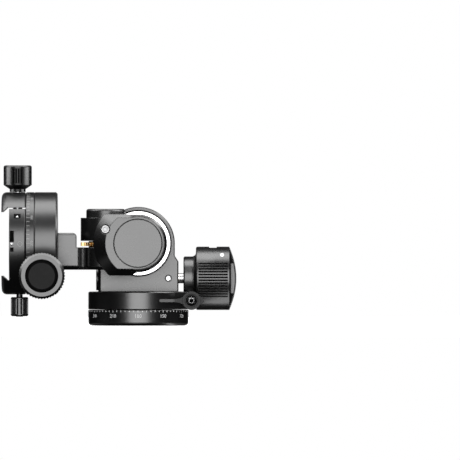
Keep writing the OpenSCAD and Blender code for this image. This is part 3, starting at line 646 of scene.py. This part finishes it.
numbers = bmesh.new()
for step in range(NUMBERS):
    value = (FRONT_NUMBER - NUMBER_STEP * step) % 360
    turn = rotation(NUMBER_STEP * step + TO_FRONT, "Z")
    place = Matrix.Translation((0.0, 0.0, DIAL_NUMBER_Z)) @ turn
    add_text(numbers, str(value), DIAL_NUMBER_TALL, BASE_R, place, bold=DIAL_NUMBER_BOLD)
finish_piece("pan_dial_numbers", numbers, thin_paint, "base")

# %% [markdown]
# The platform's numbers stand with their heads towards the clamp, so the axis that the text was
# rolled round is turned from +Z to -X before it is set on the ring.

# %% Platform scale numbers
TEXT_TO_SCALE = rotation(-90.0, "Y")
SCALE_NUMBER_X = SCALE_LEFT + 3.4 * MM
SCALE_NUMBER_TALL = 1.25 * MM

numbers = bmesh.new()
for step in range(NUMBERS):
    turn = rotation(-NUMBER_STEP * step, "X")
    place = PLATFORM_AXIS @ turn @ Matrix.Translation((SCALE_NUMBER_X, 0.0, 0.0)) @ TEXT_TO_SCALE
    add_text(numbers, str(NUMBER_STEP * step), SCALE_NUMBER_TALL, DISC_R, place)
finish_piece("platform_scale_numbers", numbers, grey_paint, "roll")

# %% [markdown]
# The clamp carries a black window with a white pointer that the platform scale is read against. The
# window is an inlaid bar like the lines. A cone with three sides and two equal ends is a prism, which
# makes the pointer, and it lies a little higher than the window.

# %% Index window and pointer
INDEX_X = -64.7 * MM
INDEX_TURN = rotation(57.8, "X")
WINDOW_SIZE = (3.6 * MM, 2.7 * MM, SUNK)
POINTER_R = 0.8 * MM
POINTER_SHIFT = Matrix.Translation((0.0, -0.4 * MM, 0.0))


def on_clamp(x, turn, rise):
    return PLATFORM_AXIS @ turn @ Matrix.Translation((x, 0.0, DISC_R + rise - SUNK / 2))


window = bmesh.new()
add_bar(window, WINDOW_SIZE, on_clamp(INDEX_X, INDEX_TURN, PROUD))
finish_piece("clamp_index_window", window, black_paint_and_shade, "clamp")

pointer = bmesh.new()
bmesh.ops.create_cone(
    pointer, cap_ends=True, segments=3, radius1=POINTER_R, radius2=POINTER_R, depth=SUNK,
    matrix=on_clamp(INDEX_X, INDEX_TURN, 2.0 * PROUD) @ POINTER_SHIFT,
)
finish_piece("clamp_index", pointer, white_paint, "clamp")

# %% [markdown]
# A faint painted ring on the clamp's rim shows where the lock acts. It is so small that sixteen short
# bars in a circle read as a ring, and each of them stays flat on the rim.

# %% Lock ring mark
RING_BARS = 16
RING_STEP = 360.0 / RING_BARS
RING_MIDDLE = on_clamp(-63.2 * MM, rotation(90.7, "X"), PROUD)
RING_OUT = Matrix.Translation((1.2 * MM, 0.0, 0.0))
RING_BAR_SIZE = (0.2 * MM, 0.5 * MM, SUNK)

ring = bmesh.new()
for step in range(RING_BARS):
    add_bar(ring, RING_BAR_SIZE, RING_MIDDLE @ rotation(RING_STEP * step, "Z") @ RING_OUT)
finish_piece("lock_ring_mark", ring, grey_paint, "clamp")

# %% [markdown]
# One smooth land of the big knob has a white dot that shows how far the knob was turned. It is a thin
# disc of paint, a little longer round the knob than along it.

# %% Knob dot
KNOB_R = 17.1 * MM
KNOB_AXIS = Matrix.Translation((0.0, 9.7 * MM, 25.35 * MM))
DOT_TURN = rotation(42.3, "X")
DOT_OUT = Matrix.Translation((45.1 * MM, 0.0, KNOB_R - SUNK / 2))
DOT_SHAPE = Matrix.Diagonal((0.8, 1.08, 1.0, 1.0))
DOT_R = 1.3 * MM

dot = bmesh.new()
bmesh.ops.create_cone(
    dot, cap_ends=True, segments=32, radius1=DOT_R, radius2=DOT_R, depth=SUNK,
    matrix=KNOB_AXIS @ DOT_TURN @ DOT_OUT @ DOT_SHAPE,
)
finish_piece("tilt_knob_dot", dot, white_paint, "tilt_drive")

# %% [markdown]
# The dark gap round the plastic insert of each round drive knob is painted shade: a black ring with a
# lip that leans over the insert's edge fills it. A torus would have no lip, so the section is a few
# corners, spun once round the knob's axis. The place of the knob is read from the box of its insert.

# %% Knob seals
# corners of the painted shade ring in millimetres: distance from the axis, height on the knob
GAP_SHADE_SECTION = [
    (7.05, 10.05), (7.95, 9.5), (7.95, 8.05), (8.88, 8.05), (8.88, 9.5), (7.6, 10.2), (7.05, 10.17),
]
INSERT_FOOT = 8.0
FULL_TURN = math.radians(360.0)
SPIN_STEPS = 72


def spun_ring(section, x, z):
    # the section is a list of (radius, y) corners beside an axis that runs along Y through x and z
    bm = bmesh.new()
    verts = [bm.verts.new((x + radius, y, z)) for radius, y in section]
    edges = [bm.edges.new((verts[i - 1], verts[i])) for i in range(len(verts))]
    bmesh.ops.spin(
        bm, geom=verts + edges, cent=(x, 0.0, z), axis=(0.0, 1.0, 0.0), angle=FULL_TURN, steps=SPIN_STEPS,
        use_merge=True, use_duplicate=False,
    )
    return bm


def knob_seal(name, insert, body, outwards):
    low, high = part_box(insert)
    foot = high[1] if outwards < 0 else low[1]
    section = []
    for radius, height in GAP_SHADE_SECTION:
        section.append((radius * MM, foot + outwards * (height - INSERT_FOOT) * MM))
    bm = spun_ring(section, (low[0] + high[0]) / 2, (low[2] + high[2]) / 2)
    finish_piece(name, bm, black_paint_and_shade, body)


# black rings of painted shade in the dark gaps round the knob inserts
knob_seal("platform_knob_gap_shade", "platform_knob_disc", "platform_drive", -1.0)
knob_seal("roll_knob_gap_shade", "roll_knob_disc", "roll_drive", 1.0)

# %% [markdown]
# The clamp's rim has a slot for the plate's stop. A black box in the slot is painted shade that darkens
# its inside, and a second short window and the end of a sprung steel ball show beside it. The painted
# shade and the window are bars, and the ball is a small sphere that is sunk into the rim.

# %% Stop slot
SLOT_X = -67.55 * MM
SLOT_PLACE = Matrix.Translation((SLOT_X, ROLL_Y - 23.5 * MM, TILT_Z + 3.7 * MM))
SLOT_SHADE_SIZE = (2.04 * MM, 5.0 * MM, 5.94 * MM)
STOP_WINDOW_SIZE = (1.9 * MM, 2.3 * MM, SUNK)
BALL_R, BALL_RISE = 1.0 * MM, -0.5 * MM

# a black box of painted shade that fills the slot
slot_shade = bmesh.new()
add_bar(slot_shade, SLOT_SHADE_SIZE, SLOT_PLACE)
finish_piece("stop_slot_shade", slot_shade, black_paint_and_shade, "clamp")

second = bmesh.new()
add_bar(second, STOP_WINDOW_SIZE, on_clamp(SLOT_X, rotation(97.0, "X"), PROUD))
finish_piece("stop_window", second, black_paint_and_shade, "clamp")

ball = bmesh.new()
bmesh.ops.create_uvsphere(
    ball, u_segments=24, v_segments=16, radius=BALL_R,
    matrix=on_clamp(SLOT_X, rotation(91.0, "X"), BALL_RISE),
)
finish_piece("stop_ball", ball, steel, "clamp")

# %% [markdown]
# The socket of the lever's screw is dark inside. A thin black disc on its floor is painted shade, and
# its place is read from the box of the screw.

# %% Screw socket
SOCKET_R, SOCKET_THICK = 1.2 * MM, 0.16 * MM
SOCKET_DEPTH = 1.3 * MM

low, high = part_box("lock_screw")
place = Matrix.Translation(((low[0] + high[0]) / 2, low[1] + SOCKET_DEPTH, (low[2] + high[2]) / 2))
# a black disc of painted shade on the socket's floor
socket = bmesh.new()
bmesh.ops.create_cone(
    socket, cap_ends=True, segments=24, radius1=SOCKET_R, radius2=SOCKET_R, depth=SOCKET_THICK,
    matrix=place @ rotation(90.0, "X"),
)
finish_piece("screw_socket", socket, black_paint_and_shade, "lever")

# %% [markdown]
# The dark gap round the housing screw's head is painted shade, a black flat ring, and a pale rim lies
# round its socket. Both are flat rings on the face of the screw, so the function that spun the knob
# rings makes them from four corners.

# %% Housing screw rims


def screw_rim(name, inner, outer, material):
    low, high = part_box("housing_screw")
    front, back = low[1] - PROUD, low[1] + SUNK
    section = [(inner, front), (outer, front), (outer, back), (inner, back)]
    rim = spun_ring(section, (low[0] + high[0]) / 2, (low[2] + high[2]) / 2)
    finish_piece(name, rim, material, "tilt")


# a black ring of painted shade in the gap round the screw's head
screw_rim("housing_screw_gap_shade", 2.02 * MM, 2.33 * MM, black_paint_and_shade)
screw_rim("housing_screw_socket_rim", 1.3 * MM, 1.6 * MM, thin_paint)

# %% [markdown]
# The bracket's hoop has its front edge broken by a small chamfer, which shows as a dark line round it.
# Shading alone would not show in the outline, so a copy of the bare solid gets the chamfer with the
# bevel operator and takes the solid's place. The solid is loose triangles, so the copy is merged and
# its flat faces are joined first.

# %% Broken edge of the hoop
BRACKET_FACE = -5.0 * MM
HOOP_R = 19.6 * MM
HOOP_FOOT = TILT_Z - 9.95 * MM
EDGE_BREAK = 0.6 * MM
SHARP = math.radians(30.0)
FLAT = math.radians(0.5)
MERGE = 0.0005 * MM
ON_FACE, ON_RIM = 0.02 * MM, 0.1 * MM


def on_hoop_rim(edge):
    if edge.calc_face_angle(0.0) < SHARP:
        return False
    for vert in edge.verts:
        off_face = abs(vert.co.y - BRACKET_FACE)
        reach = math.hypot(vert.co.x, vert.co.z - TILT_Z)
        if off_face > ON_FACE or reach < HOOP_R - ON_RIM or vert.co.z < HOOP_FOOT:
            return False
    return True


broken = bmesh.new()
broken.from_mesh(nodes["bracket"].data)
bmesh.ops.remove_doubles(broken, verts=broken.verts[:], dist=MERGE)
bmesh.ops.dissolve_limit(
    broken, angle_limit=FLAT, verts=broken.verts[:], edges=broken.edges[:], use_dissolve_boundaries=False,
)
rim_edges = [edge for edge in broken.edges if on_hoop_rim(edge)]
bmesh.ops.bevel(
    broken, geom=rim_edges, offset=EDGE_BREAK, offset_type="OFFSET", affect="EDGES", segments=2,
    profile=0.5, material=-1, clamp_overlap=True,
)
print("edges broken:", len(rim_edges))
bracket_piece = finish_piece("bracket_edge_broken", broken, black_milled, "pan")
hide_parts("bracket")

# %% [markdown]
# The photograph's light is one soft box behind the camera and one straight above, with the room dark
# around them: faces that look at the camera are grey, and round sides fall off to black. A panel at
# the upper left lights the slopes on that side, and two weak panels stand at the sides. The table
# glows under the big knob, and two small cards draw the stripes on the clamp knob. Each panel's
# brightness is set per square metre, so the lamp's power follows from its size.

# %% Lamps
HEAD = Vector((0.0, -0.02, 0.04))
BIG_KNOB = Vector((0.042, 0.01, 0.025))
CLAMP_KNOB = Vector((-0.065, -0.019, 0.086))


def panel(name, place, width, height, brightness, aim):
    lamp = bpy.data.lights.new(name, "AREA")
    lamp.shape = "RECTANGLE"
    lamp.size = width
    lamp.size_y = height
    lamp.energy = brightness * math.pi * width * height
    holder = bpy.data.objects.new(name, lamp)
    holder.location = place
    holder.rotation_mode = "QUATERNION"
    holder.rotation_quaternion = (aim - Vector(place)).to_track_quat("-Z", "Y")
    holder.visible_camera = False
    scene.collection.objects.link(holder)
    print("lamp:", name, round(lamp.energy, 2), "W")


# place in metres, width, height, brightness, what it faces
panel("front_soft_box", (0.0, -1.62, 0.22), 1.3, 1.3, 5.2, HEAD)
panel("top_soft_box", (0.0, -0.02, 1.6), 4.4, 1.1, 5.0, HEAD)
panel("table_glow", (0.049, -0.012, -0.03), 0.018, 0.06, 3.0, BIG_KNOB)
panel("upper_left_panel", (-1.5, -0.2, 0.85), 0.8, 1.1, 1.8, HEAD)
panel("left_panel", (-1.6, 0.0, 0.3), 0.9, 0.9, 0.06, HEAD)
panel("right_panel", (1.6, 0.0, 0.3), 0.9, 0.9, 0.06, HEAD)
panel("clamp_knob_card_left", (-0.165, -0.04, 0.086), 0.07, 0.03, 5.0, CLAMP_KNOB)
panel("clamp_knob_card_right", (0.035, -0.04, 0.086), 0.07, 0.03, 5.0, CLAMP_KNOB)

# %% [markdown]
# The background is plain white for the camera. Shiny metal sees the white sheet behind the head and a
# dim room level with it, which keeps its round sides dark in the photograph's view. Above and below
# that level the room's sides are pale, so that the forms also show from the other sides, and straight
# below it is dark. The world's direction decides which of them a reflection meets.

# %% World
WHITE = (1.0, 1.0, 1.0, 1.0)
DARK_ROOM, PALE_WALL, WHITE_SHEET = 0.01, 0.45, 1.0
ROOM_LIGHT = 0.07
SHEET_LIMITS, SIDE_LIMITS = (0.955, 0.975), (0.3, 0.5)
LOW_LIMITS, LEVEL_LIMITS = (-0.6, -0.42), (0.25, 0.5)

world = bpy.data.worlds.new("studio")
world.use_nodes = True
scene.world = world
tree = world.node_tree
background = tree.nodes["Background"]
background.inputs["Color"].default_value = WHITE
direction = add_node(tree, "ShaderNodeTexCoord").outputs["Generated"]
axes = add_node(tree, "ShaderNodeSeparateXYZ")
link(tree, direction, axes.inputs["Vector"])

sheet = ramp(tree, axes.outputs["Y"], *SHEET_LIMITS, DARK_ROOM, WHITE_SHEET)
at_side = ramp(tree, calculate(tree, "ABSOLUTE", axes.outputs["X"]), *SIDE_LIMITS)
above_low = ramp(tree, axes.outputs["Z"], *LOW_LIMITS)
off_level = ramp(tree, calculate(tree, "ABSOLUTE", axes.outputs["Z"]), *LEVEL_LIMITS, 0.0, PALE_WALL)
walls = calculate(tree, "MULTIPLY", calculate(tree, "MULTIPLY", at_side, above_low), off_level)

ray = add_node(tree, "ShaderNodeLightPath").outputs
mirrored = calculate(tree, "MAXIMUM", ray["Is Glossy Ray"], ray["Is Transmission Ray"])
room = add_node(tree, "ShaderNodeMix", {"A": ROOM_LIGHT})
link(tree, mirrored, room.inputs["Factor"])
link(tree, calculate(tree, "MAXIMUM", sheet, walls), room.inputs["B"])
seen = add_node(tree, "ShaderNodeMix", {"B": WHITE_SHEET})
link(tree, ray["Is Camera Ray"], seen.inputs["Factor"])
link(tree, room.outputs["Result"], seen.inputs["A"])
link(tree, seen.outputs["Result"], background.inputs["Strength"])
print("world:", world.name, "with", len(tree.nodes), "nodes")

# %% [markdown]
# The floor is a pale sheet of paper that keeps the head's shadow. It lies a hair below the base, so
# that the two flat faces never share a plane. The paper lets the lamps through: it casts no shadow of
# its own and does not stand in the way of a reflection.

# %% Floor
FLOOR_REACH = 0.8
JUST_BELOW = Matrix.Translation((0.0, 0.0, -0.2 * MM))

floor_bm = bmesh.new()
bmesh.ops.create_grid(floor_bm, x_segments=2, y_segments=2, size=FLOOR_REACH, matrix=JUST_BELOW)
floor_mesh = bpy.data.meshes.new("floor")
floor_bm.to_mesh(floor_mesh)
floor_bm.free()
floor = bpy.data.objects.new("floor", floor_mesh)
floor.visible_shadow = False
floor.visible_glossy = False
floor.visible_diffuse = False
scene.collection.objects.link(floor)
floor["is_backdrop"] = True
print("floor:", round(2.0 * FLOOR_REACH, 2), "m wide")

# %% [markdown]
# Paper is matt, with a faint cloudy tone. A little glow, seen by the camera, lifts it to the white of
# the background. More lamp light would do that too, but it would bleach the head as well.

# %% Paper
PAPER_DARK, PAPER_LIGHT = 0.86, 0.90
PAPER_ROUGHNESS = 0.9
PAPER_GLOW = 0.7

paper, tree, shader, place = new_material("pale_paper")
fibre = add_node(tree, "ShaderNodeTexNoise", {"Scale": 40.0, "Detail": 4.0})
link(tree, place, fibre.inputs["Vector"])
shade = blend_colour(tree, fibre.outputs["Fac"], grey(PAPER_DARK), grey(PAPER_LIGHT))
link(tree, shade, shader.inputs["Base Color"])
shader.inputs["Roughness"].default_value = PAPER_ROUGHNESS
shader.inputs["Specular IOR Level"].default_value = 0.0
shader.inputs["Emission Color"].default_value = WHITE
ray = add_node(tree, "ShaderNodeLightPath").outputs
mirrored = calculate(tree, "MAXIMUM", ray["Is Glossy Ray"], ray["Is Transmission Ray"])
any_view = calculate(tree, "MAXIMUM", ray["Is Camera Ray"], mirrored)
link(tree, calculate(tree, "MULTIPLY", any_view, PAPER_GLOW), shader.inputs["Emission Strength"])
floor_mesh.materials.append(paper)

# %% [markdown]
# Last, the box of the dressed head is printed.

# %% Sizes and finish
low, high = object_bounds()
print("box:", [round(1000 * (b - a), 2) for a, b in zip(low, high)], "mm")
